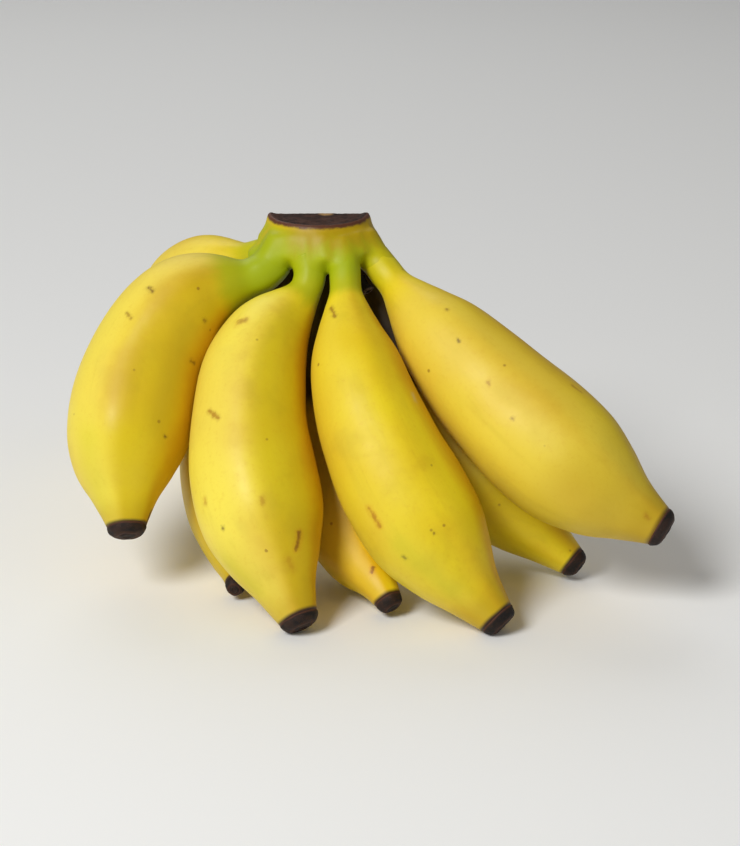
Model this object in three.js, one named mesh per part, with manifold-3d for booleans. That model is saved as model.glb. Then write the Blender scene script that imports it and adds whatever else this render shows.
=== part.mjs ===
// A hand of eight short dessert bananas, grown together at one crown.
// Millimetres, +Z up. The hand stands on the tips of its fruits, with the cut face of its crown on top.
// The origin lies on the surface it stands on, under the middle of the whole hand.
import * as THREE from 'three';
import { mergeVertices } from 'three/addons/utils/BufferGeometryUtils.js';
import Module from 'manifold-3d';

const wasm = await Module();
wasm.setup();

// The crown's axis, seen from the origin. Every place below is measured from the foot of this axis.
const CROWN_AXIS = { x: -14, y: 3.7 };

// The five soft ridges of a fruit, in degrees round it from the middle of its outer, convex side.
const RIDGES = [
  { at: 60, height: 0.045 },
  { at: 132, height: 0.03 },
  { at: 204, height: 0.03 },
  { at: 276, height: 0.03 },
  { at: 348, height: 0.012 },
];
const RIDGE_WIDTH = 16;
const BETWEEN_RIDGES = 0.985;

// Half the thickness of a fruit, as a share of its greatest, at shares of its length from the stalk's root.
const FRUIT_SHAPE = [
  { along: 0.05, thick: 0.26 },
  { along: 0.1, thick: 0.27 },
  { along: 0.15, thick: 0.385 },
  { along: 0.2, thick: 0.52 },
  { along: 0.27, thick: 0.69 },
  { along: 0.36, thick: 0.815 },
  { along: 0.48, thick: 0.915 },
  { along: 0.62, thick: 1 },
  { along: 0.74, thick: 0.965 },
  { along: 0.84, thick: 0.75 },
  { along: 0.92, thick: 0.5 },
  { along: 1, thick: 0.31 },
];
const RINGS_PER_STRETCH = 2;
// A stouter neck than the others' fades out between these shares of a fruit's length.
const NECK = { from: 0.05, to: 0.45 };
const FRUIT_SIDES = 20;

// Each fruit: its greatest thickness, how many times stouter its neck is if it is stouter, and the five
// points that steer its centre line, from the root of its stalk in the crown to the end of its flesh.
// The outer row goes round the front from the back left.
const FRUITS = [
  {
    name: 'outer_1',
    thickness: 35,
    hull: [[-12.5, 6, 84.5], [-34, 19, 75.5], [-46, 40, 67], [-46, 54, 42], [-30, 56, 4]],
  },
  {
    name: 'outer_2',
    thickness: 35,
    neck: 1.24,
    hull: [[-12.5, -5, 84.5], [-20, -11.5, 75], [-34.5, -7, 85.5], [-57, -9.5, 70], [-52, -48, 21.5]],
  },
  {
    name: 'outer_3',
    thickness: 35,
    hull: [[-3.5, -8, 87.5], [4, -14, 70.5], [-21.5, -17, 75.5], [-29, -37.5, 48.5], [-4.5, -70.5, 4.5]],
  },
  {
    name: 'outer_4',
    thickness: 33.5,
    hull: [[7.5, -8.5, 87], [7.5, -36, 61], [15, -54.5, 40.5], [35, -62, 16.5], [48.5, -70.5, 4.5]],
  },
  {
    name: 'outer_5',
    thickness: 36,
    hull: [[15.5, -3, 85.5], [26, -16.5, 74], [44.5, -31, 59.5], [59.5, -46.5, 42], [92, -60, 26.5]],
  },
  {
    name: 'inner_1',
    thickness: 24.5,
    hull: [[-4.5, 1, 83], [-31.5, 0, 56], [-34.5, -11, 26.5], [-21, -30, 7.5], [-22.5, -48.5, 4.5]],
  },
  {
    name: 'inner_2',
    thickness: 24.5,
    hull: [[3.5, 3.5, 83.5], [2, -19.5, 26], [8.5, -38.5, 3], [12, -49.5, 15], [19.5, -60, 5]],
  },
  {
    name: 'inner_3',
    thickness: 28.5,
    hull: [[12, 7, 84.5], [20, -1, 56.5], [31.5, -11, 35], [49, -23, 20.5], [71.5, -35, 5.5]],
  },
];

// The slit that keeps two pieces apart where they meet.
const SLIT = 0.5;

// The dry rest of the flower on each fruit. Its radii are shares of the fruit's where the flesh ends.
const BLOSSOM = { length: 3.8, lip: 1.03, waist: 0.94, end: 0.7, pit: 0.46, pitDepth: 0.7, sides: 14 };

// The crown: an oval cushion with a straight back, wide below.
// Its cut face, on top, leans back by lean degrees.
const CROWN = {
  top: 96,
  bottom: 83,
  lean: 6,
  faceHalfWidth: 14.5,
  footHalfWidth: 18,
  depthShare: 0.62,
  back: 7.5,
  dish: 0.9,
  rimWidth: 1.6,
  sides: 32,
};
// Each stalk starts under the cut face and runs down into the fruit's own line.
const STALK = { startHeight: 91.5, startSpread: 0.75, startThick: 5.2, straight: 3, sides: 20, rings: 6 };

// A small dried stub in the gap between the stalks of outer_4 and outer_5.
const STUB = {
  root: [12, -5.6, 80],
  tip: [14.2, -8, 76.5],
  radius: 1.3,
  ringRadius: 1.7,
  pit: 0.8,
  sides: 12,
};

const PEEL = { color: 0xdcb92e, roughness: 0.5, metalness: 0 };
const STALK_GREEN = { color: 0xa3a424, roughness: 0.55, metalness: 0 };
const DRY_FLOWER = { color: 0x31231c, roughness: 0.9, metalness: 0 };
const DRY_STUB = { color: 0x241d1d, roughness: 0.9, metalness: 0 };

// A smooth line steered by a hull of points, as a Bezier curve of any degree.
class HullCurve extends THREE.Curve {
  constructor(hull) {
    super();
    this.hull = hull;
  }

  getPoint(t, target = new THREE.Vector3()) {
    let points = this.hull;
    while (points.length > 1) {
      points = points.slice(1).map((next, i) => points[i].clone().lerp(next, t));
    }
    return target.copy(points[0]);
  }
}

const toVector = ([x, y, z]) => new THREE.Vector3(x, y, z);

// The part of a fruit's skin that stands out as ridges, by the angle round it.
function ridgeFactor(degrees) {
  const away = (at) => Math.abs(THREE.MathUtils.euclideanModulo(degrees - at + 180, 360) - 180);
  const raised = RIDGES.map(({ at, height }) => height * Math.exp(-((away(at) / RIDGE_WIDTH) ** 2)));
  return BETWEEN_RIDGES + raised.reduce((sum, part) => sum + part, 0);
}

// Bends a lathed body, whose axis is Y, along a line. outward is the side where angle 0 lies.
function bendAlong(geometry, line, outward) {
  const length = line.getLength();
  const position = geometry.getAttribute('position');
  for (let i = 0; i < position.count; i += 1) {
    const local = new THREE.Vector3().fromBufferAttribute(position, i);
    const share = THREE.MathUtils.clamp(local.y / length, 0, 1);
    const tangent = line.getTangentAt(share);
    const back = outward.clone().addScaledVector(tangent, -outward.dot(tangent)).normalize();
    const side = new THREE.Vector3().crossVectors(tangent, back);
    const angle = Math.atan2(local.x, local.z);
    const radius = Math.hypot(local.x, local.z) * ridgeFactor(THREE.MathUtils.radToDeg(angle));
    const point = line.getPointAt(share);
    point.addScaledVector(back, radius * Math.cos(angle));
    point.addScaledVector(side, radius * Math.sin(angle));
    position.setXYZ(i, point.x, point.y, point.z);
  }
  return geometry;
}

// A closed body of manifold-3d from a three.js geometry, and back again.
function toSolid(geometry) {
  const bare = geometry.clone();
  bare.deleteAttribute('normal');
  bare.deleteAttribute('uv');
  const welded = mergeVertices(bare, 1e-4);
  return new wasm.Manifold(new wasm.Mesh({
    numProp: 3,
    vertProperties: new Float32Array(welded.getAttribute('position').array),
    triVerts: new Uint32Array(welded.index.array),
  }));
}

function toGeometry(solid) {
  const { vertProperties, triVerts } = solid.getMesh();
  const geometry = new THREE.BufferGeometry();
  geometry.setAttribute('position', new THREE.Float32BufferAttribute(vertProperties, 3));
  geometry.setIndex([...triVerts]);
  return geometry;
}

function boxSolid(width, depth, height, x, y, z) {
  return toSolid(new THREE.BoxGeometry(width, depth, height).translate(x, y, z));
}

function addMesh(group, name, geometry, finish) {
  const mesh = new THREE.Mesh(geometry, new THREE.MeshStandardMaterial(finish));
  mesh.name = name;
  geometry.computeVertexNormals();
  group.add(mesh);
}

// Half the thickness of a fruit's own knots, in millimetres, with its stouter neck if it has one.
function knotRadius({ thickness, neck = 1 }, { along, thick }) {
  const stouter = 1 + (neck - 1) * (1 - THREE.MathUtils.smoothstep(along, NECK.from, NECK.to));
  return (thickness / 2) * thick * stouter;
}

// The centre line of a fruit, its length and the direction of its outer, convex side.
function layOut({ hull }) {
  const line = new HullCurve(hull.map(toVector));
  const chordMiddle = line.getPoint(0).lerp(line.getPoint(1), 0.5);
  const outward = line.getPointAt(0.5).sub(chordMiddle).normalize();
  return { line, outward, length: line.getLength() };
}

function fruitGeometry(fruit) {
  const { line, outward, length } = layOut(fruit);
  const knots = FRUIT_SHAPE.map((knot) => new THREE.Vector2(knotRadius(fruit, knot), knot.along * length));
  const outline = new THREE.SplineCurve(knots).getPoints(RINGS_PER_STRETCH * (knots.length - 1));
  outline[0].y += SLIT;
  const profile = [new THREE.Vector2(0, outline[0].y), ...outline, new THREE.Vector2(0, length)];
  return bendAlong(new THREE.LatheGeometry(profile, FRUIT_SIDES), line, outward);
}

function blossomGeometry(fruit) {
  const { line } = layOut(fruit);
  const fleshEnd = knotRadius(fruit, FRUIT_SHAPE.at(-1));
  const { length, lip, waist, end, pit, pitDepth, sides } = BLOSSOM;
  const outline = [
    [0, SLIT],
    [fleshEnd * 0.98, SLIT],
    [fleshEnd * lip, length * 0.2],
    [fleshEnd * waist, length * 0.52],
    [fleshEnd * end, length * 0.9],
    [fleshEnd * (end + pit) * 0.5, length],
    [fleshEnd * pit, length],
    [fleshEnd * pit * 0.8, length - pitDepth],
    [0, length - pitDepth],
  ];
  const lathe = new THREE.LatheGeometry(outline.map(([r, y]) => new THREE.Vector2(r, y)), sides);
  const cap = toSolid(aim(lathe, line.getPoint(1), line.getTangentAt(1)));
  return toGeometry(cap.subtract(boxSolid(400, 400, 20, 0, 0, -10)));
}

// The line of a stalk inside the crown: from under the cut face down to the slit where its fruit begins.
function stalkSolid(fruit) {
  const { line, outward } = layOut(fruit);
  const seam = FRUIT_SHAPE[0];
  const root = line.getPoint(0);
  const start = new THREE.Vector3(root.x * STALK.startSpread, root.y * STALK.startSpread, STALK.startHeight);
  const neck = line.getPointAt(seam.along);
  const beforeNeck = neck.clone().addScaledVector(line.getTangentAt(seam.along), -STALK.straight);
  const stalk = new THREE.CubicBezierCurve3(start, root, beforeNeck, neck);
  const stalkLength = stalk.getLength();
  const profile = [new THREE.Vector2(0, 0)];
  for (let ring = 0; ring <= STALK.rings; ring += 1) {
    const share = ring / STALK.rings;
    const thick = THREE.MathUtils.lerp(STALK.startThick, knotRadius(fruit, seam), share);
    profile.push(new THREE.Vector2(thick, share * stalkLength));
  }
  profile.push(new THREE.Vector2(0, stalkLength));
  return toSolid(bendAlong(new THREE.LatheGeometry(profile, STALK.sides), stalk, outward));
}

function cushionSolid() {
  const { top, bottom, lean, faceHalfWidth, footHalfWidth, depthShare, back, dish, rimWidth, sides } = CROWN;
  const outline = [
    [0, bottom],
    [footHalfWidth * 0.55, bottom + 0.8],
    [footHalfWidth * 0.9, bottom + 3],
    [footHalfWidth, bottom + 6],
    [faceHalfWidth * 1.08, top - 4],
    [faceHalfWidth, top - 0.6],
    [faceHalfWidth - rimWidth * 0.4, top],
    [faceHalfWidth - rimWidth, top],
    [faceHalfWidth - rimWidth * 2, top - dish],
    [0, top - dish],
  ];
  const lathe = new THREE.LatheGeometry(outline.map(([r, y]) => new THREE.Vector2(r, y)), sides);
  lathe.rotateX(Math.PI / 2).scale(1, depthShare, 1);
  const cushion = toSolid(lathe).subtract(boxSolid(80, 40, 80, 0, back + 20, (top + bottom) / 2));
  return cushion.translate([0, 0, -top]).rotate([-lean, 0, 0]).translate([0, 0, top]);
}

function crownGeometry() {
  const stalks = FRUITS.map(stalkSolid);
  return toGeometry(stalks.reduce((whole, stalk) => whole.add(stalk), cushionSolid()));
}

// Stands a lathed body, whose axis is Y, on a point, along a direction.
function aim(geometry, place, direction) {
  const turn = new THREE.Quaternion().setFromUnitVectors(new THREE.Vector3(0, 1, 0), direction);
  return geometry.applyMatrix4(new THREE.Matrix4().compose(place, turn, new THREE.Vector3(1, 1, 1)));
}

function stubGeometry() {
  const { radius, ringRadius, pit, sides } = STUB;
  const root = toVector(STUB.root);
  const reach = toVector(STUB.tip).sub(root);
  const length = reach.length();
  const outline = [
    [0, 0],
    [radius, 0],
    [radius * 0.8, length * 0.6],
    [ringRadius, length - 0.8],
    [ringRadius * 0.9, length],
    [pit, length],
    [pit, length - 0.7],
    [0, length - 0.7],
  ];
  const lathe = new THREE.LatheGeometry(outline.map(([r, y]) => new THREE.Vector2(r, y)), sides);
  return aim(lathe, root, reach.normalize());
}

const hand = new THREE.Group();
hand.position.set(CROWN_AXIS.x, CROWN_AXIS.y, 0);
addMesh(hand, 'crown', crownGeometry(), STALK_GREEN);
for (const fruit of FRUITS) {
  addMesh(hand, `finger_${fruit.name}`, fruitGeometry(fruit), PEEL);
  addMesh(hand, `blossom_${fruit.name}`, blossomGeometry(fruit), DRY_FLOWER);
}
addMesh(hand, 'dried_stub', stubGeometry(), DRY_STUB);

const banana = new THREE.Group();
banana.add(hand);
export default banana;
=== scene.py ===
import math

import bmesh
import bpy
import numpy as np
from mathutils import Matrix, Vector, noise
from mathutils.bvhtree import BVHTree


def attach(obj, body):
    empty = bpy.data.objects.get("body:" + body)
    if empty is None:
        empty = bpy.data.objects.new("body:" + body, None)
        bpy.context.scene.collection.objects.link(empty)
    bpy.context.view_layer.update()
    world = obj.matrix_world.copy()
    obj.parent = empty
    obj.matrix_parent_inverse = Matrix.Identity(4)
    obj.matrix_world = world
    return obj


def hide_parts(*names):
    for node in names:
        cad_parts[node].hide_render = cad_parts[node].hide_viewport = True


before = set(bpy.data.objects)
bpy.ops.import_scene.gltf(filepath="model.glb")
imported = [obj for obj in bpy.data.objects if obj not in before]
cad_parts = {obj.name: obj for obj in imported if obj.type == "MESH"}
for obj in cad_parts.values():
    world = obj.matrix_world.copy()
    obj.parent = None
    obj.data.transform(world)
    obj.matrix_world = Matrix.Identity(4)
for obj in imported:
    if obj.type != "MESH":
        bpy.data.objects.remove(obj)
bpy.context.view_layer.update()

mm = 0.001
print("stage: frame loaded")

# the camera, matched to the photograph: lookAt and distance in mm, height in degrees above the horizon
view = {
    "lookAt": (0.6, -16.3, 41.5), "height": 20, "distance": 650,
    "lens": 98, "sensor": 36, "frame": (740, 846),
}


def addCamera():
    tilt = math.radians(view["height"])
    back = Vector((0, -math.cos(tilt), math.sin(tilt)))
    data = bpy.data.cameras.new("camera")
    data.lens = view["lens"]
    data.sensor_width = view["sensor"]
    camera = bpy.data.objects.new("camera", data)
    camera.location = (Vector(view["lookAt"]) + back * view["distance"]) * mm
    camera.rotation_euler = (math.radians(90 - view["height"]), 0, 0)
    bpy.context.scene.collection.objects.link(camera)
    bpy.context.scene.camera = camera
    return camera


camera = addCamera()


def rayThrough(px, py):
    # the ray from the camera through a place in the frame
    tilt = math.radians(view["height"])
    width, height = view["frame"]
    reach = view["lens"] / view["sensor"] * height
    forward = Vector((0, math.cos(tilt), -math.sin(tilt)))
    up = Vector((0, math.sin(tilt), math.cos(tilt)))
    aside = Vector(((px - width / 2) / reach, 0, 0))
    return camera.location.copy(), (forward + aside + up * ((height / 2 - py) / reach)).normalized()


# The eight fruits. Places are in mm from the foot of the crown's axis: each hull steers one centre line.
# thick is the greatest thickness in mm, and neck is how many times stouter the neck is than the others'.
# green is how green the stalk is, and the share of the fruit's length where that has faded out.
# deep and tip are the strengths of the deeper tone all over and of the duller one at the end.
# the three side tones are painted light and shade: the paler one is painted light, a pale sheen on the side
# that faces the camera and the key lamp, the olive one painted shade on the facets turned away from the
# lamps, and the golden one painted shade with bounced light where the fruits face each other. Each gives the
# middle in degrees round the fruit from its convex back, the reach to either side in degrees, and the
# strength.
# full lists where a fruit is fuller: by how many mm, at which share of its length, how widely, on which side.
# cap narrows the blossom end, and the end of the fruit with it.
crownAxis = np.array((-14, 3.7, 0.0))
fruits = {
    "outer_1": {
        "thick": 35, "neck": 1, "green": (0.4, 0.2), "deep": 0.1, "tip": 0.6,
        "paintedLight": (-60, 80, 0.45), "olive": (-100, 46, 0.2), "gold": (180, 70, 0.5),
        "hull": ((-12.5, 6, 84.5), (-34, 19, 75.5), (-46, 40, 67), (-46, 54, 42), (-30, 56, 4)),
    },
    "outer_2": {
        "thick": 35, "neck": 1.24, "green": (1, 0.25), "deep": 0.2, "tip": 0.6,
        "paintedLight": (-20, 80, 0.45), "olive": (-115, 46, 0.3), "gold": (-178, 44, 0.5),
        "full": ((1.2, 0.86, 0.1, 0), (1.2, 0.36, 0.12, 180)),
        "hull": ((-12.5, -5, 84.5), (-20, -11.5, 75), (-34.5, -7, 85.5), (-57, -9.5, 70), (-52, -48, 21.5)),
    },
    "outer_3": {
        "thick": 35, "neck": 1, "green": (0.75, 0.19), "deep": 0.05, "tip": 0.6,
        "paintedLight": (-30, 80, 0.45), "olive": (-126, 40, 0.35), "gold": (-180, 44, 0.55),
        "full": ((1.6, 0.19, 0.07, 15), (1, 0.31, 0.1, 15)),
        "hull": ((-3.5, -8, 87.5), (4, -14, 70.5), (-21.5, -17, 75.5), (-29, -37.5, 48.5),
                 (-4.5, -70.5, 4.5)),
    },
    "outer_4": {
        "thick": 33.5, "neck": 1, "green": (0.85, 0.17), "deep": 0.12, "tip": 0.6,
        "paintedLight": (10, 70, 0.15), "olive": (-30, 46, 0.1), "gold": (-160, 56, 0.6),
        "hull": ((7.5, -8.5, 87), (7.5, -36, 61), (15, -54.5, 40.5), (35, -62, 16.5), (48.5, -70.5, 4.5)),
    },
    "outer_5": {
        "thick": 36, "neck": 1, "green": (0.3, 0.2), "deep": 0.3, "tip": 0.6,
        "paintedLight": (-50, 80, 0.3), "olive": (-95, 46, 0.05), "gold": (160, 75, 0.6),
        "full": ((1.2, 0.86, 0.1, 0),),
        "hull": ((15.5, -3, 85.5), (26, -16.5, 74), (44.5, -31, 59.5), (59.5, -46.5, 42), (92, -60, 26.5)),
    },
    "inner_1": {
        "thick": 24.5, "neck": 1, "green": (0.2, 0.18), "deep": 0.1, "tip": 0.4, "cap": 0.75,
        "paintedLight": (0, 75, 0.2), "olive": (-60, 50, 0.6), "gold": (90, 62, 0.4),
        "hull": ((-4.5, 1, 83), (-31.5, 0, 56), (-34.5, -11, 26.5), (-21, -30, 7.5), (-22.5, -48.5, 4.5)),
    },
    "inner_2": {
        "thick": 24.5, "neck": 1, "green": (0.2, 0.18), "deep": 0.2, "tip": 0.1,
        "paintedLight": (-100, 60, 0.2), "olive": (-60, 46, 0.1), "gold": (-108, 60, 0.3),
        "hull": ((3.5, 3.5, 83.5), (2, -19.5, 26), (8.5, -38.5, 3), (12, -49.5, 15), (19.5, -60, 5)),
    },
    "inner_3": {
        "thick": 28.5, "neck": 1, "green": (0.2, 0.18), "deep": 0.1, "tip": 0.1,
        "paintedLight": (0, 75, 0.1), "olive": (-60, 46, 0.05), "gold": (180, 62, 0.3),
        "hull": ((12, 7, 84.5), (20, -1, 56.5), (31.5, -11, 35), (49, -23, 20.5), (71.5, -35, 5.5)),
    },
}
lineSteps = {"fruit": 600, "stalk": 120}


def ease(low, high, value):
    # rises smoothly from 0 at low to 1 at high
    share = np.clip((np.asarray(value, float) - low) / (high - low), 0, 1)
    return share * share * (3 - 2 * share)


def ramp(slope, offset, value):
    # rises in a straight line between 0 and 1
    return np.clip(value * slope + offset, 0, 1)


def bezier(points, count):
    points = np.array(points, float)
    t = np.linspace(0, 1, count)[:, None]
    degree = len(points) - 1
    weights = [math.comb(degree, k) * t ** k * (1 - t) ** (degree - k) for k in range(degree + 1)]
    return sum(weight * point for weight, point in zip(weights, points))


def pathOf(points):
    # a line as dense points, with the length at each and its direction there
    steps = np.linalg.norm(np.diff(points, axis=0), axis=1)
    direction = np.gradient(points, axis=0)
    direction /= np.linalg.norm(direction, axis=1)[:, None]
    return {"points": points, "at": np.concatenate(([0], np.cumsum(steps))), "direction": direction}


def along(path, distance):
    # places and directions at distances from the start, straight on past both ends
    at = path["at"]
    inside = np.clip(distance, 0, at[-1])
    place = np.stack([np.interp(inside, at, path["points"][:, k]) for k in range(3)], 1)
    direction = np.stack([np.interp(inside, at, path["direction"][:, k]) for k in range(3)], 1)
    direction /= np.linalg.norm(direction, axis=1)[:, None]
    return place + direction * (distance - inside)[:, None], direction


for fruit in fruits.values():
    line = bezier(np.array(fruit["hull"], float) + crownAxis, lineSteps["fruit"])
    fruit["path"] = pathOf(line)
    fruit["length"] = fruit["path"]["at"][-1]
    middle = along(fruit["path"], np.array([fruit["length"] / 2]))[0][0]
    outward = middle - (line[0] + line[-1]) / 2
    fruit["outward"] = outward / np.linalg.norm(outward)

# the soft ridges of a fruit: their places in degrees and their heights as shares of its radius
ridges = {
    "places": ((60, 0.045), (132, 0.03), (204, 0.034), (276, 0.03), (348, 0.012)),
    "highest": 0.045, "width": 16, "between": 0.985,
}


def ridgeAt(degrees):
    # how far the skin stands out there, and how strong the ridge is, from 0 to 1
    raised = np.zeros_like(degrees)
    for place, height in ridges["places"]:
        away = np.abs((degrees - place + 180) % 360 - 180)
        raised += height * np.exp(-((away / ridges["width"]) ** 2))
    return ridges["between"] + raised, np.clip(raised / ridges["highest"], 0, 1)


def smoothThrough(knots, steps):
    # a smooth line through (distance, radius) knots
    knots = [np.array(k, float) for k in knots]
    padded = [2 * knots[0] - knots[1]] + knots + [2 * knots[-1] - knots[-2]]
    line = []
    for before, start, end, after in zip(padded, padded[1:], padded[2:], padded[3:]):
        for step in range(steps):
            t = step / steps
            bend = (2 * before - 5 * start + 4 * end - after) * t ** 2
            turn = (3 * start - before - 3 * end + after) * t ** 3
            line.append(0.5 * (2 * start + (end - before) * t + bend + turn))
    return line + [knots[-1]]


def spun(profile, sides):
    # a closed body turned from (distance, radius) points, standing on the Z axis
    bm = bmesh.new()
    chain = [bm.verts.new((max(radius, 0), 0, height)) for height, radius in profile]
    edges = [bm.edges.new(pair) for pair in zip(chain, chain[1:])]
    bmesh.ops.spin(bm, geom=chain + edges, cent=(0, 0, 0), axis=(0, 0, 1), dvec=(0, 0, 0),
                   angle=2 * math.pi, steps=sides, use_merge=True, use_duplicate=False)
    bmesh.ops.remove_doubles(bm, verts=bm.verts, dist=1e-6)
    bmesh.ops.recalc_face_normals(bm, faces=bm.faces)
    return bm


def corners(mesh, what="co"):
    values = np.empty(len(mesh.vertices) * 3)
    mesh.vertices.foreach_get(what, values)
    return values.reshape(-1, 3)


def setCorners(mesh, co):
    mesh.vertices.foreach_set("co", np.ascontiguousarray(co, dtype=np.float32).ravel())
    mesh.update()


def toMesh(bm, name):
    mesh = bpy.data.meshes.new(name)
    bm.to_mesh(mesh)
    bm.free()
    mesh.shade_smooth()
    return mesh


def giveNumbers(mesh, name, *columns):
    # up to three numbers for each corner, which the materials read
    values = np.zeros((len(mesh.vertices), 3))
    for k, column in enumerate(columns):
        values[:, k] = column
    attribute = mesh.attributes.new(name, "FLOAT_VECTOR", "POINT")
    attribute.data.foreach_set("vector", np.ascontiguousarray(values, dtype=np.float32).ravel())


def pieceName(kind, name):
    return kind + name.title().replace("_", "")


def addPiece(mesh, replaced, material):
    piece = bpy.data.objects.new(mesh.name, mesh)
    bpy.context.scene.collection.objects.link(piece)
    mesh.materials.append(material)
    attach(piece, "root")
    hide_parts(replaced)


def bendAlong(co, path, outward, ridged=True):
    # moves straight points in mm onto a path: Z runs along it and X points outward
    place, direction = along(path, co[:, 2])
    back = outward - direction * (direction @ outward)[:, None]
    back /= np.linalg.norm(back, axis=1)[:, None]
    side = np.cross(direction, back)
    angle = np.degrees(np.arctan2(co[:, 1], co[:, 0]))
    lift, ridge = ridgeAt(angle)
    grow = lift if ridged else np.ones_like(lift)
    bent = place + back * (co[:, 0] * grow)[:, None] + side * (co[:, 1] * grow)[:, None]
    return bent, angle, ridge


def roughness(co, size, strength, seed):
    # smooth, uneven lumps, the same on every run
    shift = Vector((seed * 7.3, seed * 3.1, seed * 5.7))
    return np.array([noise.noise(Vector(place) / size + shift) for place in co]) * strength


def colour(code):
    # a screen colour as the light values that a shader takes
    parts = [int(code[k:k + 2], 16) / 255 for k in (0, 2, 4)]
    return tuple(p / 12.92 if p <= 0.04045 else ((p + 0.055) / 1.055) ** 2.4 for p in parts) + (1,)


class Shader:
    # one node tree, with a short call for each kind of node
    def __init__(self, tree):
        self.tree = tree

    def put(self, socket, value):
        if isinstance(value, bpy.types.NodeSocket):
            self.tree.links.new(value, socket)
        elif isinstance(value, str):
            socket.default_value = colour(value)
        elif value is not None:
            socket.default_value = value

    def math(self, operation, a, b=None, c=None, clamp=False):
        node = self.tree.nodes.new("ShaderNodeMath")
        node.operation = operation
        node.use_clamp = clamp
        for socket, value in zip(node.inputs, (a, b, c)):
            self.put(socket, value)
        return node.outputs[0]

    def times(self, *factors):
        product = factors[0]
        for factor in factors[1:]:
            product = self.math("MULTIPLY", product, factor)
        return product

    def shifted(self, value, wave, amount):
        # value moved by a wave that swings round 0.5
        return self.math("MULTIPLY_ADD", self.math("SUBTRACT", wave, 0.5), amount, value)

    def vector(self, operation, a, b=None, scale=None):
        node = self.tree.nodes.new("ShaderNodeVectorMath")
        node.operation = operation
        self.put(node.inputs[0], a)
        self.put(node.inputs[1], b)
        self.put(node.inputs[3], scale)
        isNumber = operation in ("DOT_PRODUCT", "LENGTH", "DISTANCE")
        return node.outputs["Value"] if isNumber else node.outputs[0]

    def mix(self, factor, a, b):
        node = self.tree.nodes.new("ShaderNodeMix")
        node.data_type = "RGBA"
        self.put(node.inputs["Factor"], factor)
        self.put(node.inputs[6], a)
        self.put(node.inputs[7], b)
        return node.outputs[2]

    def spread(self, value, low, high, toLow=0.0, toHigh=1.0):
        # toLow where the value is low or less, toHigh where it is high or more, and smooth between
        node = self.tree.nodes.new("ShaderNodeMapRange")
        node.interpolation_type = "SMOOTHSTEP"
        amounts = {"Value": value, "From Min": low, "From Max": high, "To Min": toLow, "To Max": toHigh}
        for name, amount in amounts.items():
            self.put(node.inputs[name], amount)
        return node.outputs[0]

    def noise(self, vector, scale, detail, rough):
        node = self.tree.nodes.new("ShaderNodeTexNoise")
        self.put(node.inputs["Vector"], vector)
        node.inputs["Scale"].default_value = scale
        node.inputs["Detail"].default_value = detail
        node.inputs["Roughness"].default_value = rough
        return node.outputs[0]

    def cells(self, vector, scale):
        node = self.tree.nodes.new("ShaderNodeTexVoronoi")
        self.put(node.inputs["Vector"], vector)
        node.inputs["Scale"].default_value = scale
        return node.outputs["Distance"], node.outputs["Color"]

    def stretch(self, vector, scale):
        node = self.tree.nodes.new("ShaderNodeMapping")
        self.put(node.inputs["Vector"], vector)
        node.inputs["Scale"].default_value = scale
        return node.outputs[0]

    def attribute(self, name):
        node = self.tree.nodes.new("ShaderNodeAttribute")
        node.attribute_name = name
        return node.outputs["Vector"]

    def split(self, vector):
        node = self.tree.nodes.new("ShaderNodeSeparateXYZ")
        self.put(node.inputs[0], vector)
        return node.outputs

    def place(self):
        return self.tree.nodes.new("ShaderNodeTexCoord").outputs["Object"]

    def bump(self, height, distance, strength, normal=None):
        node = self.tree.nodes.new("ShaderNodeBump")
        node.inputs["Strength"].default_value = strength
        node.inputs["Distance"].default_value = distance
        self.put(node.inputs["Height"], height)
        self.put(node.inputs["Normal"], normal)
        return node.outputs[0]


def newMaterial(name):
    material = bpy.data.materials.new(name)
    material.use_nodes = True
    return material, Shader(material.node_tree), material.node_tree.nodes["Principled BSDF"]


# The peel. The patterns have scale, detail and roughness. The names with At say where a tone comes in, as
# low, high, toLow and toHigh, and those with Sway how far a pattern moves the border of a tone.
peelLook = {
    # the palest colour is painted light; olive and gold are tones of the peel that also serve as painted
    # shade on the sides of the fruits
    "lemon": "efd81a", "warm": "e4c20e", "gold": "cf9602", "deep": "d9a408", "paintedLight": "f3e46c",
    "olive": "b69d04", "lime": "b6b606", "green": "a0b002", "tip": "bd9d0a",
    # the gap colour is a dark painted shade where the stalks show in the gaps between the outer ones
    "brown": "83480f", "line": "3b2212", "gap": "2f1a12",
    "broad": (24, 2, 0.5), "patch": (75, 3, 0.55), "fine": (850, 2, 0.6), "fibre": (1, 3, 0.6),
    "fibreStretch": (240, 240, 22), "dots": 300, "dotChance": 0.972,
    "lemonAt": (0.36, 0.62), "oliveAt": (0.5, 0.75, 0, 0.3), "crownOlive": 0.6, "pastNeckAt": (0.09, 0.22),
    "ridgeAt": (0.3, 0.7, 0.1, 0.5), "fibreAt": (0.52, 0.78, 0, 0.16), "fineAt": (0.5, 0.8, 0, 0.14),
    "tipAt": (0.9, 0.985), "limeAt": (0.08, 0.5), "greenAt": (0.45, 0.95, 0, 0.9),
    "dotAt": (0.2, 0.08, 0, 0.6), "lineAt": (0.988, 0.999), "gapShadeAt": (0.2, 0.8, 0, 0.95),
    "sideSway": 0.2, "tipSway": 0.06, "greenSway": 0.2, "lineSway": 0.008, "gapShadeSway": 0.4,
    "roughness": (0.3, 0.7, 0.44, 0.56), "specular": 0.38, "fineRelief": 0.4,
    "softBump": (0.0008, 0.3), "sharpBump": (0.0001, 0.35),
}


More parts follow.
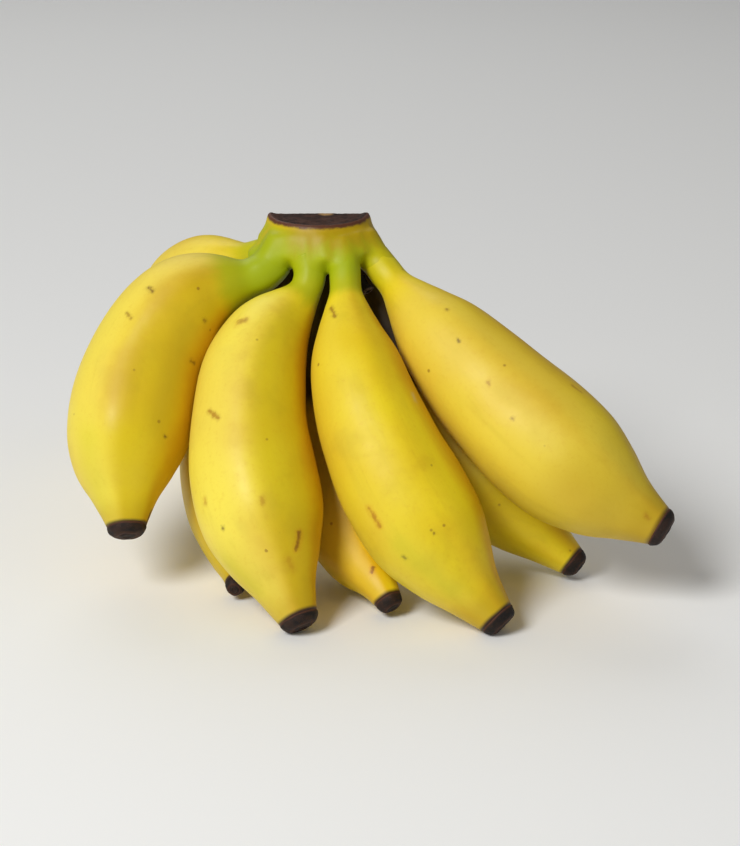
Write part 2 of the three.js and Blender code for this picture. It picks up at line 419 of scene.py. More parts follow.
def peelSkin(shader, own):
    # the colour of the peel, from the numbers that each mesh carries; own is a fruit, or None for the crown
    look = peelLook
    ridge, share, green = shader.split(shader.attribute("skin"))
    gap = shader.split(shader.attribute("round"))[2]
    place = shader.place()
    broad = shader.noise(place, *look["broad"])
    patch = shader.noise(place, *look["patch"])
    fibre = shader.noise(shader.stretch(shader.attribute("grain"), look["fibreStretch"]), *look["fibre"])
    fine = shader.noise(place, *look["fine"])
    skin = shader.mix(shader.spread(broad, *look["lemonAt"]), look["warm"], look["lemon"])
    olive = shader.spread(patch, *look["oliveAt"]) if own else look["crownOlive"]
    skin = shader.mix(olive, skin, look["olive"])
    if own:
        skin = ownTones(shader, skin, own, share, patch)
    ridgeTone = shader.times(ridge, shader.spread(patch, *look["ridgeAt"]))
    skin = shader.mix(ridgeTone, skin, look["gold"])
    skin = shader.mix(shader.spread(fibre, *look["fibreAt"]), skin, look["olive"])
    skin = shader.mix(shader.spread(fine, *look["fineAt"]), skin, look["gold"])
    greenTone = shader.shifted(green, fibre, look["greenSway"])
    skin = shader.mix(shader.spread(greenTone, *look["limeAt"]), skin, look["lime"])
    skin = shader.mix(shader.spread(greenTone, *look["greenAt"]), skin, look["green"])
    if own:
        skin = dotsAndLine(shader, skin, place, share, patch)
    # a dark painted shade where the stalks show in the gaps between the outer ones
    gapShade = shader.spread(shader.shifted(gap, patch, look["gapShadeSway"]), *look["gapShadeAt"])
    return shader.mix(gapShade, skin, look["gap"]), fibre, fine, patch


def ownTones(shader, skin, own, share, patch):
    # the tones that differ from fruit to fruit, past its neck: a deeper and a duller tone, and painted light
    # and painted shade on its sides
    look = peelLook
    pastNeck = shader.spread(share, *look["pastNeckAt"])
    skin = shader.mix(shader.times(pastNeck, own["deep"]), skin, look["deep"])
    for tone in ("paintedLight", "olive", "gold"):
        side = sideOf(shader, own[tone], patch)
        skin = shader.mix(shader.times(pastNeck, side), skin, look[tone])
    nearTip = shader.spread(shader.shifted(share, patch, look["tipSway"]), *look["tipAt"], 0, own["tip"])
    return shader.mix(nearTip, skin, look["tip"])


def sideOf(shader, side, patch):
    # how much of a side tone, the painted light or one of the painted shades, one side of a fruit takes, with
    # an uneven edge
    degrees, width, strength = side
    middle, width = math.radians(degrees), math.radians(width)
    towards = (math.cos(middle), math.sin(middle), 0)
    flat = shader.vector("MULTIPLY", shader.attribute("round"), (1, 1, 0))
    near = shader.shifted(shader.vector("DOT_PRODUCT", flat, towards), patch, peelLook["sideSway"])
    return shader.spread(near, math.cos(width), math.cos(width / 2), 0, strength)


def dotsAndLine(shader, skin, place, share, patch):
    # rare brown dots, and the thin dark line where the peel meets the blossom end
    look = peelLook
    dots, chance = shader.cells(place, look["dots"])
    rare = shader.math("GREATER_THAN", shader.split(chance)[0], look["dotChance"])
    skin = shader.mix(shader.times(shader.spread(dots, *look["dotAt"]), rare), skin, look["brown"])
    atEnd = shader.spread(shader.shifted(share, patch, look["lineSway"]), *look["lineAt"])
    return shader.mix(atEnd, skin, look["line"])


def finishPeel(shader, surface, skin, fibre, fine, patch):
    look = peelLook
    shader.put(surface.inputs["Base Color"], skin)
    shader.put(surface.inputs["Roughness"], shader.spread(patch, *look["roughness"]))
    surface.inputs["Specular IOR Level"].default_value = look["specular"]
    relief = shader.math("MULTIPLY_ADD", fine, look["fineRelief"], fibre)
    soft = shader.bump(patch, *look["softBump"])
    shader.put(surface.inputs["Normal"], shader.bump(relief, *look["sharpBump"], soft))


# Marks on the skin, mostly spots and greener patches, some of them painted shade: where each starts and ends
# in the frame, in pixels, and its half width in mm. uneven is how ragged it is, and halo the tone round it.
marksAndShade = {
    "outer_2": (
        # painted shade: the olive band down the middle of the fruit, on the facet turned away from the lamps
        {"from": (185, 335), "to": (160, 420), "radius": 6, "strength": 0.2, "colour": "a5900f",
         "uneven": 0.4},
        {"from": (88, 440), "to": (98, 500), "radius": 7, "strength": 0.35, "colour": "cfc41a",
         "uneven": 0.4},
        {"from": (148, 288), "to": (153, 291), "radius": 0.7, "strength": 0.7, "colour": "6a4208"},
        {"from": (127, 313), "to": (131, 318), "radius": 0.6, "strength": 0.5, "colour": "8a5a08"},
        {"from": (191, 361), "to": (194, 363), "radius": 0.6, "strength": 0.6, "colour": "6a4208"},
        {"from": (165, 436), "to": (166, 437), "radius": 0.5, "strength": 0.7, "colour": "5a3a14"},
        {"from": (204, 320), "to": (205, 321), "radius": 0.6, "strength": 0.5, "colour": "7a4c08"},
        {"from": (151, 512), "to": (147, 522), "radius": 0.8, "strength": 0.9, "colour": "4a2a12"},
    ),
    "outer_3": (
        {"from": (230, 565), "to": (255, 590), "radius": 5, "strength": 0.4, "colour": "c6bd18",
         "uneven": 0.5},
        {"from": (238, 323), "to": (244, 321), "radius": 1.3, "strength": 0.6, "colour": "96580c",
         "halo": "c88a0c"},
        {"from": (209, 411), "to": (218, 418), "radius": 0.8, "strength": 0.65, "colour": "a06400"},
        {"from": (299, 533), "to": (297, 548), "radius": 1, "strength": 0.75, "colour": "7a4000",
         "halo": "c87a00"},
        {"from": (223, 528), "to": (223, 529), "radius": 0.6, "strength": 0.8, "colour": "4a3012"},
        {"from": (205, 499), "to": (205, 502), "radius": 0.9, "strength": 0.5, "colour": "b47400"},
        {"from": (262, 498), "to": (263, 503), "radius": 0.8, "strength": 0.4, "colour": "ac6c08"},
        {"from": (289, 560), "to": (292, 566), "radius": 1.6, "strength": 0.35, "colour": "b47400"},
    ),
    "outer_4": (
        {"from": (331, 308), "to": (335, 316), "radius": 0.7, "strength": 0.65, "colour": "8a5600"},
        {"from": (369, 508), "to": (380, 526), "radius": 0.9, "strength": 0.65, "colour": "a86400",
         "halo": "d08a00"},
        {"from": (404, 557), "to": (405, 558), "radius": 0.6, "strength": 0.7, "colour": "5a3a14"},
        {"from": (434, 533), "to": (434, 534), "radius": 0.4, "strength": 0.6, "colour": "6a3c04"},
        {"from": (413, 394), "to": (415, 400), "radius": 0.8, "strength": 0.5, "colour": "cdbb90"},
        {"from": (400, 545), "to": (450, 590), "radius": 4, "strength": 0.35, "colour": "c6bd18",
         "uneven": 0.5},
    ),
    "outer_5": (
        {"from": (447, 309), "to": (447, 310), "radius": 0.6, "strength": 0.6, "colour": "8a5a08"},
        {"from": (458, 340), "to": (459, 341), "radius": 0.5, "strength": 0.7, "colour": "5a3a14"},
        {"from": (488, 383), "to": (489, 384), "radius": 0.7, "strength": 0.5, "colour": "a86c08"},
        {"from": (512, 418), "to": (513, 419), "radius": 0.5, "strength": 0.5, "colour": "8a5a1c"},
        {"from": (573, 386), "to": (581, 392), "radius": 0.7, "strength": 0.5, "colour": "a86c08"},
        {"from": (646, 516), "to": (648, 518), "radius": 0.8, "strength": 0.7, "colour": "a05a14"},
        # painted shade: the duller golden end of the fruit, on the side turned away from the lamps
        {"from": (575, 490), "to": (640, 530), "radius": 15, "strength": 0.5, "colour": "bb9504",
         "uneven": 0.4},
    ),
    "inner_2": (
        {"from": (373, 567), "to": (372, 573), "radius": 0.7, "strength": 0.75, "colour": "7a4200",
         "halo": "c87a00"},
    ),
    "crown": (
        # painted shade: dark lines along the crown's right outline, where its back is in shade
        {"from": (374, 222), "to": (384, 241), "radius": 0.7, "strength": 0.75, "colour": "5a3a20"},
        {"from": (384, 241), "to": (396, 262), "radius": 0.4, "strength": 0.6, "colour": "6a4a20"},
        {"from": (272, 222), "to": (257, 244), "radius": 1.3, "strength": 0.6, "colour": "c8ae1c"},
    ),
}
# every mark: ragged unless it says otherwise, with a halo of so many radii and so much of its strength
markLook = {
    "uneven": 2.4, "ragged": 0.5, "detail": 2, "rough": 0.6,
    "haloFrom": 2, "haloTo": 0.5, "halo": 0.4,
}


def spotOn(shader, skin, mark, start, end):
    # one soft mark on the skin, between two places on it
    look = markLook
    place = shader.place()
    radius, strength = mark["radius"] * mm, mark["strength"]
    reach = Vector(end) - Vector(start)
    offset = shader.vector("SUBTRACT", place, tuple(start))
    share = shader.vector("DOT_PRODUCT", offset, tuple(reach))
    share = shader.math("DIVIDE", share, max(reach.length_squared, 1e-12), clamp=True)
    nearest = shader.vector("SCALE", tuple(reach), scale=share)
    gap = shader.vector("LENGTH", shader.vector("SUBTRACT", offset, nearest))
    wave = shader.noise(place, look["ragged"] / radius, look["detail"], look["rough"])
    gap = shader.shifted(gap, wave, radius * mark.get("uneven", look["uneven"]))
    halo = shader.spread(gap, radius * look["haloFrom"], radius * look["haloTo"], 0, strength * look["halo"])
    skin = shader.mix(halo, skin, mark.get("halo", mark["colour"]))
    return shader.mix(shader.spread(gap, radius, 0, 0, strength), skin, mark["colour"])


def markSkin(shader, skin, mesh, name):
    # each mark lies where its rays meet the mesh
    tree = BVHTree.FromPolygons([v.co for v in mesh.vertices], [p.vertices for p in mesh.polygons])
    for mark in marksAndShade.get(name, ()):
        ends = [tree.ray_cast(*rayThrough(*mark[key]))[0] for key in ("from", "to")]
        if None in ends:
            print("a mark misses", name, mark["from"], mark["to"])
        else:
            skin = spotOn(shader, skin, mark, *ends)
    return skin


# The flesh and peel of a fruit. knots are its radius as a share of its greatest, at shares of its length.
# closing is how it closes past its end, in mm and as a share of the end's radius. The names with At are
# shares of its length.
fruitLook = {
    "knots": ((0, 0.25), (0.05, 0.26), (0.1, 0.27), (0.15, 0.385), (0.2, 0.52), (0.27, 0.69), (0.36, 0.815),
              (0.48, 0.915), (0.62, 1), (0.74, 0.965), (0.84, 0.75), (0.92, 0.5), (1, 0.31)),
    "closing": ((0.2, 0.9), (0.25, 0.6), (0.25, 0)),
    # the last of these says where the painted shade in the gaps fades out along the neck
    "neckAt": (0.05, 0.45), "capAt": (0.9, 1), "greenAt": 0.04, "gapShadeAt": (0.32, 0.48),
    "ringsPerStretch": 12, "sides": 112, "grainShift": 0.05,
    "lumpSize": 14, "lump": 0.3, "lumpsRise": (6, -0.5), "fullFades": 20, "calmCore": 0.6,
}
# the sides of the inner stalks that show in the gaps between the outer ones, which take a dark painted shade:
# towards -Y, and not towards +X
gapShadeSides = {"front": (0.3, -0.3), "right": (0.75, 0.35)}


def neckFactor(fruit, share):
    return 1 + (fruit["neck"] - 1) * (1 - ease(*fruitLook["neckAt"], share))


def facesGapShade(mesh):
    normal = corners(mesh, "normal")
    return ease(*gapShadeSides["front"], normal[:, 1]) * ease(*gapShadeSides["right"], normal[:, 0])


def greenOf(fruit, share):
    strength, end = fruit["green"]
    return strength * (1 - ease(fruitLook["greenAt"], end, share))


def fruitProfile(fruit):
    # (distance, radius) points in mm, closed at both ends
    look = fruitLook
    length, radius = fruit["length"], fruit["thick"] / 2
    taper = 1 - fruit.get("cap", 1)
    profile = [(0, 0)]
    for share, thick in smoothThrough(look["knots"], look["ringsPerStretch"]):
        narrowed = 1 - taper * ease(*look["capAt"], share)
        profile.append((share * length, thick * radius * neckFactor(fruit, share) * narrowed))
    end = profile[-1][1]
    return profile + [(length + past, end * part) for past, part in look["closing"]]


def fruitMesh(name, fruit, seed):
    look = fruitLook
    length, radius = fruit["length"], fruit["thick"] / 2
    mesh = toMesh(spun(fruitProfile(fruit), look["sides"]), name)
    co = corners(mesh)
    share = co[:, 2] / length
    reach = np.maximum(np.hypot(co[:, 0], co[:, 1]), 1e-6)
    uneven = roughness(co, look["lumpSize"], look["lump"], seed) * ramp(*look["lumpsRise"], share)
    around = np.arctan2(co[:, 1], co[:, 0])
    for more, at, width, side in fruit.get("full", ()):
        swell = more * np.exp(-(((share - at) / width) ** 2)) * ramp(look["fullFades"], 0, 1 - share)
        uneven += swell * (0.5 + 0.5 * np.cos(around - math.radians(side)))
    co[:, :2] *= (1 + uneven * np.clip(reach / (radius * look["calmCore"]), 0, 1) / reach)[:, None]
    bent, angle, ridge = bendAlong(co, fruit["path"], fruit["outward"])
    giveNumbers(mesh, "grain", *(co * mm + seed * look["grainShift"]).T)
    setCorners(mesh, bent * mm)
    giveNumbers(mesh, "skin", ridge, share, greenOf(fruit, share))
    # painted shade on the sides of the inner necks that show in the gaps between the outer stalks
    gapShadeSide = facesGapShade(mesh) if "Inner" in name else 0
    gap = gapShadeSide * (1 - ease(*look["gapShadeAt"], share))
    giveNumbers(mesh, "round", np.cos(np.radians(angle)), np.sin(np.radians(angle)), gap)
    return mesh


def fruitMaterial(mesh, name, fruit):
    material, shader, surface = newMaterial("peel" + mesh.name)
    skin, fibre, fine, patch = peelSkin(shader, fruit)
    finishPeel(shader, surface, markSkin(shader, skin, mesh, name), fibre, fine, patch)
    return material


for seed, (name, fruit) in enumerate(fruits.items()):
    mesh = fruitMesh(pieceName("fruit", name), fruit, seed)
    addPiece(mesh, "finger_" + name, fruitMaterial(mesh, name, fruit))
print("stage: fruits made")

# The dry blossom ends. The profile has the distance along in mm and the radius as a share of the fruit's end.
blossomLook = {
    "profile": ((-0.8, 0), (-0.8, 0.8), (-0.4, 0.95), (0, 0.99), (0.3, 1.01), (0.8, 0.985), (1.4, 0.935),
                (2, 0.85), (2.45, 0.74), (2.75, 0.62), (2.8, 0.54), (2.75, 0.47), (2.9, 0.37), (2.95, 0.26),
                (2.75, 0.17), (2.7, 0)),
    "ringsPerStretch": 4, "sides": 72, "lumpSize": 2.2, "lump": 0.2, "lumpsRise": (1, 0.3), "firstSeed": 20,
    "char": "120b09", "dry": "2e1c14", "rim": "5a3420", "dust": "6d5548",
    "lumps": (330, 4, 0.6), "fine": (2000, 3, 0.7), "edgeSway": 0.8,
    "dryAt": (0.35, 0.65), "dustAt": (0.55, 0.8, 0, 0.3), "rimAt": (0.7, 0.05, 0, 0.8),
    "ringFrom": (0.38, 0.5), "ringTo": (0.8, 0.62), "ringDepth": (1.5, 2.4), "ring": 0.35,
    "roughness": 0.75, "specular": 0.35, "fineRelief": 0.3, "bump": (0.0003, 0.5),
}


def blossomMaterial():
    look = blossomLook
    material, shader, surface = newMaterial("dryBlossom")
    place = shader.place()
    depth, radial, _ = shader.split(shader.attribute("skin"))
    lumps = shader.noise(place, *look["lumps"])
    fine = shader.noise(place, *look["fine"])
    skin = shader.mix(shader.spread(lumps, *look["dryAt"]), look["char"], look["dry"])
    skin = shader.mix(shader.spread(fine, *look["dustAt"]), skin, look["dust"])
    edge = shader.shifted(depth, lumps, look["edgeSway"])
    skin = shader.mix(shader.spread(edge, *look["rimAt"]), skin, look["rim"])
    across = shader.times(shader.spread(radial, *look["ringFrom"]), shader.spread(radial, *look["ringTo"]))
    ring = shader.times(across, shader.spread(depth, *look["ringDepth"]))
    skin = shader.mix(shader.times(ring, look["ring"]), skin, look["rim"])
    shader.put(surface.inputs["Base Color"], skin)
    surface.inputs["Roughness"].default_value = look["roughness"]
    surface.inputs["Specular IOR Level"].default_value = look["specular"]
    relief = shader.math("MULTIPLY_ADD", fine, look["fineRelief"], lumps)
    shader.put(surface.inputs["Normal"], shader.bump(relief, *look["bump"]))
    return material


def blossomMesh(name, fruit, seed):
    look = blossomLook
    end = fruit["thick"] / 2 * fruitLook["knots"][-1][1] * fruit.get("cap", 1)
    line = smoothThrough(look["profile"], look["ringsPerStretch"])
    mesh = toMesh(spun([(distance, share * end) for distance, share in line], look["sides"]), name)
    co = corners(mesh)
    shares = np.hypot(co[:, 0], co[:, 1]) / end
    giveNumbers(mesh, "skin", co[:, 2], shares)
    lumps = roughness(co, look["lumpSize"], look["lump"], seed + look["firstSeed"])
    uneven = lumps * ramp(*look["lumpsRise"], co[:, 2])
    co[:, :2] *= (1 + uneven * np.clip(shares, 0, 1) / end)[:, None]
    co[:, 2] += uneven + fruit["length"]
    bent, _, _ = bendAlong(co, fruit["path"], fruit["outward"])
    bent[:, 2] = np.maximum(bent[:, 2], 0)  # flat where it stands on the floor
    setCorners(mesh, bent * mm)
    return mesh


dryBlossom = blossomMaterial()
for seed, (name, fruit) in enumerate(fruits.items()):
    mesh = blossomMesh(pieceName("blossom", name), fruit, seed)
    addPiece(mesh, "blossom_" + name, dryBlossom)
print("stage: blossom ends made")

# The crown, in mm from the foot of its axis: a half-round cushion, a sleeve for each stalk and webs between
# them. foot and shoulder are the cushion's profile: mm from the bottom or the top, and the share of the half
# width there. webs have two neighbours, the share of their stalks that is filled, and how far its far end is
# moved.
crownLook = {
    "top": 96, "bottom": 83, "faceHalfWidth": 14.5, "footHalfWidth": 18, "middle": 5.5, "back": 7,
    "dish": 0.45, "rimWidth": 1.1, "sides": 96,
    "foot": ((0, 0), (0.8, 0.55), (3, 0.9), (6, 1)), "shoulder": ((4, 1.08), (0.6, 1)), "rimTurn": 0.4,
    "voxel": 0.45, "smoothing": 8, "webSmoothing": 40, "webFrom": 4, "webTo": 1.6,
    "stalkStart": 91.5, "stalkSpread": 0.75, "stalkThick": 4.7, "straight": 3, "stalkSides": 48,
    "seam": 0.05, "sleeveEnd": 0.1, "sleeveSteps": 60, "stalkRings": 17, "sleeveRings": 13,
    "proud": 0.15, "sink": 0.6,
    "webs": (
        ("outer_1", "outer_2", 1, (-3, -0.5, 0.5)), ("outer_2", "outer_3", 0.6, (0, -1.8, 0)),
        ("outer_3", "outer_4", 0.72, (0, -1.8, 0)), ("outer_4", "outer_5", 0.56, (0, -1.8, 0)),
    ),
    "webThick": (5, 4.2), "webRings": 9,
    "nearSamples": 30, "nearReach": 1.3, "nearest": 0.5, "nearPower": 4,
    # where the crown shows in the gaps between the stalks it takes painted shade, placed in mm along Y, along
    # X and in height
    "greenUnder": (-0.5, -3.5), "gapShadeDepth": (-6, -2), "gapShadeLeft": (-13, -9), "gapShadeHeight": (84, 87),
    "lumpSize": 5, "lump": 0.2, "lumpSeed": 31, "lumpsFade": (-14, 1), "lumpShare": (1, 0.6, 0.5),
    "fraySize": 1.3, "fray": 0.14, "fraySeed": 32, "frayAt": (-1.6, -0.4),
    "cutDark": "23140f", "cutBrown": "4a3026", "rim": "5a3320", "ochre": "b08e00", "wood": "b08a56",
    "rough": (280, 4, 0.65), "streak": (1, 3, 0.6), "streakStretch": (420, 420, 40),
    "rimSway": 1.6, "bandSway": 7, "bandAt": (-10, -2), "ochreFrom": (-26, -17), "ochreMost": (0.15, 0.85),
    "rimAt": (-1.5, -0.6), "brownAt": (0.35, 0.7),
    "ringsPerMm": 4.5, "ringSway": 9, "ringAt": (-0.2, 1, 0, 0.5),
    "insideSway": 0.8, "insideAt": (0.5, 1.1), "insideDepth": (-3, -2.2),
    "woodPlace": (2, 5.6, 95.4), "woodAt": (0.0026, 0.0012, 0, 0.8), "specular": (0.3, 0.05),
}


def cushionBody():
    look = crownLook
    top, bottom, face, foot = look["top"], look["bottom"], look["faceHalfWidth"], look["footHalfWidth"]
    rim = look["rimWidth"]
    profile = [(bottom + up, foot * share) for up, share in look["foot"]]
    profile += [(top - under, face * share) for under, share in look["shoulder"]]
    profile += [(top, face - rim * look["rimTurn"]), (top, face - rim)]
    profile += [(top - look["dish"], face - rim * 2), (top - look["dish"], 0)]
    bm = spun(profile, look["sides"])
    bmesh.ops.translate(bm, vec=(0, look["middle"], 0), verts=bm.verts)
    cut = bmesh.ops.bisect_plane(bm, geom=bm.verts[:] + bm.edges[:] + bm.faces[:],
                                 plane_co=(0, look["back"], 0), plane_no=(0, 1, 0), clear_outer=True)
    bmesh.ops.holes_fill(bm, edges=[e for e in cut["geom_cut"] if isinstance(e, bmesh.types.BMEdge)], sides=0)
    return bm


def stalkLine(fruit):
    # from under the cut face down to the seam where the fruit begins
    look = crownLook
    root = fruit["path"]["points"][0] - crownAxis
    start = np.array((root[0] * look["stalkSpread"], root[1] * look["stalkSpread"], look["stalkStart"]))
    neck, direction = along(fruit["path"], np.array([look["seam"] * fruit["length"]]))
    neck = neck[0] - crownAxis
    return bezier((start, root, neck - direction[0] * look["straight"], neck), lineSteps["stalk"])


def tubeBody(path, profile, outward):
    bm = spun(profile, crownLook["stalkSides"])
    bent, _, _ = bendAlong(np.array([v.co for v in bm.verts]), path, outward)
    for vert, place in zip(bm.verts, bent):
        vert.co = place
    return bm


def neckRadius(fruit, share):
    shares, thicks = zip(*fruitLook["knots"])
    return np.interp(share, shares, thicks) * fruit["thick"] / 2 * neckFactor(fruit, share)


def sleeveBody(fruit):
    # the stalk, and on over the neck of the fruit until it sinks into the peel
    look = crownLook
    upper = stalkLine(fruit)
    rest = np.linspace(look["seam"], look["sleeveEnd"], look["sleeveSteps"])[1:] * fruit["length"]
    path = pathOf(np.concatenate([upper, along(fruit["path"], rest)[0] - crownAxis]))
    seamAt, end = pathOf(upper)["at"][-1], path["at"][-1]
    atSeam = neckRadius(fruit, look["seam"]) + look["proud"]
    profile = [(0, 0)]
    for part in np.linspace(0, 1, look["stalkRings"]):
        profile.append((part * seamAt, look["stalkThick"] + (atSeam - look["stalkThick"]) * part))
    for part in np.linspace(0, 1, look["sleeveRings"])[1:]:
        own = neckRadius(fruit, look["seam"] + (look["sleeveEnd"] - look["seam"]) * part)
        profile.append((seamAt + (end - seamAt) * part, own + look["proud"] - look["sink"] * part))
    return tubeBody(path, profile + [(end, 0)], fruit["outward"])


def webBody(one, other, reach, shift):
    # fills the angle between two neighbouring stalks down to a share of their length
    middle = (stalkLine(fruits[one]) + stalkLine(fruits[other])) / 2
    middle = middle + np.array(shift) * np.linspace(0, 1, len(middle))[:, None]
    path = pathOf(middle[:int(len(middle) * reach)])
    wide, narrow = crownLook["webThick"]
    end = path["at"][-1]
    parts = np.linspace(0, 1, crownLook["webRings"])
    profile = [(0, 0)] + [(part * end, wide + (narrow - wide) * part) for part in parts] + [(end, 0)]
    return tubeBody(path, profile, fruits[one]["outward"])


def joined(bodies):
    whole = bmesh.new()
    for bm in bodies:
        part = bpy.data.meshes.new("part")
        bm.to_mesh(part)
        bm.free()
        whole.from_mesh(part)
        bpy.data.meshes.remove(part)
    return whole


def crownMesh():
    # the bodies are blended into one skin by a remesh, then smoothed, the webs more than the rest
    look = crownLook
    bodies = [cushionBody()] + [sleeveBody(fruit) for fruit in fruits.values()]
    bodies += [webBody(*web) for web in look["webs"]]
    holder = bpy.data.objects.new("rough", toMesh(joined(bodies), "rough"))
    bpy.context.scene.collection.objects.link(holder)
    remesh = holder.modifiers.new("blend", "REMESH")
    remesh.mode = "VOXEL"
    remesh.voxel_size = look["voxel"]
    baked = bpy.data.meshes.new_from_object(holder.evaluated_get(bpy.context.evaluated_depsgraph_get()))
    bpy.data.objects.remove(holder)
    bm = bmesh.new()
    bm.from_mesh(baked)
    smoothBody(bm, bm.verts[:], look["smoothing"])
    low, high = look["bottom"] - look["webFrom"], look["top"] - look["webTo"]
    smoothBody(bm, [v for v in bm.verts if low < v.co.z < high], look["webSmoothing"])
    bmesh.ops.recalc_face_normals(bm, faces=bm.faces)
    return toMesh(bm, "crownFlesh")


def smoothBody(bm, verts, times):
    for _ in range(times):
        bmesh.ops.smooth_vert(bm, verts=verts, factor=0.5, use_axis_x=True, use_axis_y=True, use_axis_z=True)


def stalksNear(co):
    # the share along the nearest stalks and the green there, weighted by how near they are
    look = crownLook
    weight, share, green = (np.zeros(len(co)) for _ in range(3))
    for fruit in fruits.values():
        samples = np.linspace(0, look["sleeveEnd"] * look["nearReach"], look["nearSamples"])
        places = along(fruit["path"], samples * fruit["length"])[0] - crownAxis
        gaps = np.linalg.norm(co[:, None] - places[None], axis=2)
        near = 1 / np.maximum(gaps.min(axis=1), look["nearest"]) ** look["nearPower"]
        at = samples[gaps.argmin(axis=1)]
        weight += near
        share += near * at
        green += near * greenOf(fruit, at)
    return share / weight, green / weight


def numberCrown(mesh):
    # gives the numbers that its material reads, then the lumps and the frayed rim, and sets it on its axis
    look = crownLook
    co = corners(mesh)
    share, green = stalksNear(co)
    height = co[:, 2] - look["top"]
    fromMiddle = np.hypot(co[:, 0], co[:, 1] - look["middle"])
    inset = np.minimum(look["faceHalfWidth"] - fromMiddle, look["back"] - co[:, 1])
    # painted shade where the crown shows in the gaps between the outer stalks
    gapShadeSide = ease(*look["gapShadeDepth"], co[:, 1]) * ease(*look["gapShadeLeft"], co[:, 0]) * facesGapShade(mesh)
    gap = gapShadeSide * (1 - ease(*look["gapShadeHeight"], co[:, 2]))
    giveNumbers(mesh, "skin", 0, share, green * ease(*look["greenUnder"], height))
    giveNumbers(mesh, "round", 0, 0, gap)
    giveNumbers(mesh, "grain", *(co * mm).T)
    giveNumbers(mesh, "cut", height, inset)
    lumps = roughness(co, look["lumpSize"], look["lump"], look["lumpSeed"]) * ramp(*look["lumpsFade"], share)
    frayed = roughness(co, look["fraySize"], look["fray"], look["fraySeed"]) * ease(*look["frayAt"], height)
    co += lumps[:, None] * np.array(look["lumpShare"])
    co[:, 2] += frayed
    setCorners(mesh, (co + crownAxis) * mm)


def crownMaterial(mesh):
    look = crownLook
    material, shader, surface = newMaterial("crownSkin")
    skin, fibre, fine, patch = peelSkin(shader, None)
    height, inset, _ = shader.split(shader.attribute("cut"))
    place = shader.place()
    rough = shader.noise(place, *look["rough"])
    streak = shader.noise(shader.stretch(place, look["streakStretch"]), *look["streak"])
    edge = shader.shifted(height, rough, look["rimSway"])
    band = shader.shifted(height, streak, look["bandSway"])
    left, right = (v * mm for v in look["ochreFrom"])
    rightward = shader.spread(shader.split(place)[0], left, right, *look["ochreMost"])
    skin = shader.mix(shader.times(shader.spread(band, *look["bandAt"]), rightward), skin, look["ochre"])
    skin = markSkin(shader, skin, mesh, "crown")
    skin = shader.mix(shader.spread(edge, *look["rimAt"]), skin, look["rim"])
    wavy = shader.math("MULTIPLY_ADD", inset, look["ringsPerMm"], shader.times(rough, look["ringSway"]))
    rings = shader.math("SINE", wavy)
    face = shader.mix(shader.spread(rough, *look["brownAt"]), look["cutDark"], look["cutBrown"])
    face = shader.mix(shader.spread(rings, *look["ringAt"]), face, look["cutBrown"])
    within = shader.spread(shader.shifted(inset, rough, look["insideSway"]), *look["insideAt"])
    inside = shader.times(within, shader.spread(height, *look["insideDepth"]))
    skin = shader.mix(inside, skin, face)
    woody = shader.vector("DISTANCE", place, tuple(v * mm for v in (crownAxis + look["woodPlace"])))
    skin = shader.mix(shader.spread(woody, *look["woodAt"]), skin, look["wood"])
    finishPeel(shader, surface, skin, fibre, shader.mix(inside, fine, rough), patch)
    shader.put(surface.inputs["Specular IOR Level"], shader.spread(inside, 0, 1, *look["specular"]))
    return material


mesh = crownMesh()
numberCrown(mesh)
addPiece(mesh, "crown", crownMaterial(mesh))
print("stage: crown made")

# the dried stub between two stalks, in mm from the foot of the crown's axis
stubLook = {
    "root": (12, -5.6, 80), "tip": (14.2, -8, 76.5), "sides": 40, "lumpSize": 0.9, "lump": 0.12, "seed": 41,
    "profile": ((0, 0), (0, 1.3), (2, 1.1), (3.4, 1.5), (4.1, 1.75), (4.6, 1.6), (4.75, 1.2), (4.6, 0.8),
                (4.0, 0.6), (3.9, 0)),
    "ringsPerStretch": 5, "lineSteps": 20,
    "dark": "1d1413", "ring": "6f5c58", "rough": (1500, 3, 0.6),
    "ringDepth": (4, 4.5), "ringFrom": (0.7, 1.1), "ringRough": (0.3, 0.6),
    "roughness": 0.8, "bump": (0.0002, 0.5),
}


def stubMesh():
    look = stubLook
    profile = smoothThrough(look["profile"], look["ringsPerStretch"])
    mesh = toMesh(spun(profile, look["sides"]), "driedStubEnd")
    co = corners(mesh)
    giveNumbers(mesh, "skin", co[:, 2], np.hypot(co[:, 0], co[:, 1]))
    co[:, :2] *= (1 + roughness(co, look["lumpSize"], look["lump"], look["seed"]))[:, None]
    path = pathOf(np.linspace(look["root"], look["tip"], look["lineSteps"]) + crownAxis)
    bent, _, _ = bendAlong(co, path, np.array((1.0, 0, 0)), ridged=False)
    setCorners(mesh, bent * mm)
    return mesh


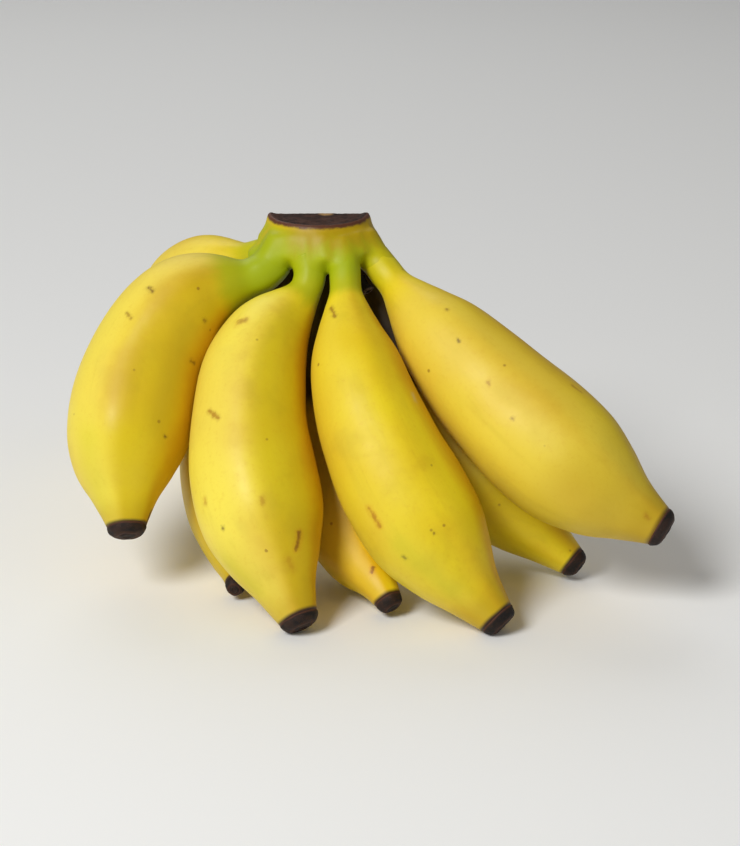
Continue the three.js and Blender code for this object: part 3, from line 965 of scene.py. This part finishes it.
def stubMaterial():
    look = stubLook
    material, shader, surface = newMaterial("dryStub")
    depth, radial, _ = shader.split(shader.attribute("skin"))
    rough = shader.noise(shader.place(), *look["rough"])
    across = shader.times(shader.spread(depth, *look["ringDepth"]), shader.spread(radial, *look["ringFrom"]))
    ring = shader.times(across, shader.spread(rough, *look["ringRough"]))
    shader.put(surface.inputs["Base Color"], shader.mix(ring, look["dark"], look["ring"]))
    surface.inputs["Roughness"].default_value = look["roughness"]
    shader.put(surface.inputs["Normal"], shader.bump(rough, *look["bump"]))
    return material


addPiece(stubMesh(), "dried_stub", stubMaterial())
print("stage: stub made")

# a plain pale floor and soft lights: places in mm from the point the camera looks at, sizes in metres and
# power in watts
studio = {
    "floor": 6.0, "floorColour": "f4f4f2", "floorRoughness": 0.9, "world": 0.2,
    "lights": (
        {"name": "key", "from": (-620, -820, 900), "size": 0.55, "power": 14.5},
        {"name": "fill", "from": (900, -500, 700), "size": 0.9, "power": 0.5},
        {"name": "back", "from": (-300, 900, 900), "size": 0.9, "power": 3},
    ),
}


def addFloor():
    bm = bmesh.new()
    bmesh.ops.create_grid(bm, x_segments=1, y_segments=1, size=studio["floor"])
    floor = bpy.data.objects.new("floor", toMesh(bm, "floor"))
    bpy.context.scene.collection.objects.link(floor)
    material, _, surface = newMaterial("floor")
    surface.inputs["Base Color"].default_value = colour(studio["floorColour"])
    surface.inputs["Roughness"].default_value = studio["floorRoughness"]
    floor.data.materials.append(material)


def addLights():
    world = bpy.data.worlds.new("studio")
    world.use_nodes = True
    world.node_tree.nodes["Background"].inputs["Color"].default_value = (1, 1, 1, 1)
    world.node_tree.nodes["Background"].inputs["Strength"].default_value = studio["world"]
    bpy.context.scene.world = world
    for light in studio["lights"]:
        data = bpy.data.lights.new(light["name"], "AREA")
        data.shape = "DISK"
        data.size = light["size"]
        data.energy = light["power"]
        lamp = bpy.data.objects.new(light["name"], data)
        lamp.location = (Vector(view["lookAt"]) + Vector(light["from"])) * mm
        lamp.rotation_euler = (-Vector(light["from"])).to_track_quat("-Z", "Y").to_euler()
        bpy.context.scene.collection.objects.link(lamp)


addFloor()
addLights()
bpy.context.scene.view_settings.view_transform = "Standard"
print("stage: studio made")
